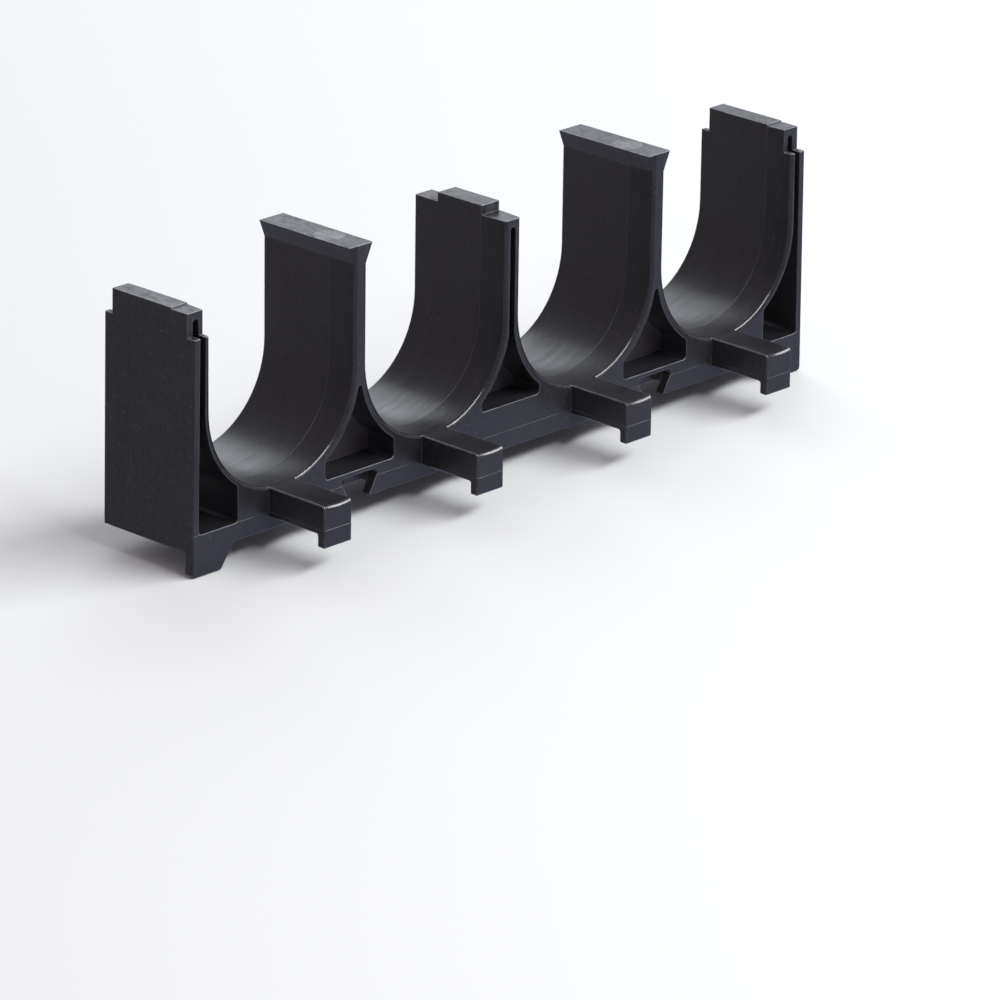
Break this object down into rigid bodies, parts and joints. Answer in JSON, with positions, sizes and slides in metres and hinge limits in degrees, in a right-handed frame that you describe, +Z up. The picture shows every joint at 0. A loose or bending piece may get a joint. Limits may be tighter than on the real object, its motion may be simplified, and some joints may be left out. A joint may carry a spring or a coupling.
{
  "type": "stackable cable spacer",
  "caption": "Row of open U-shaped cable channels moulded in one piece, with dovetail rails on top, matching sockets below, tie-down tabs along the front and short hook legs at the ends.",
  "frame": {"origin": "middle of the seat, the underside of the base, half way along the row and half way through the body's depth", "axes": "+X along the row of channels, -Y towards the tabs, +Z up out of the channels"},
  "size_m": [0.2398, 0.0548, 0.078],
  "materials": {
    "nylon": "black moulded nylon with a fine spark texture outside and smoother channels"
  },
  "bodies": {
    "root": {"cable_spacer": "nylon"}
  },
  "joints": []
}
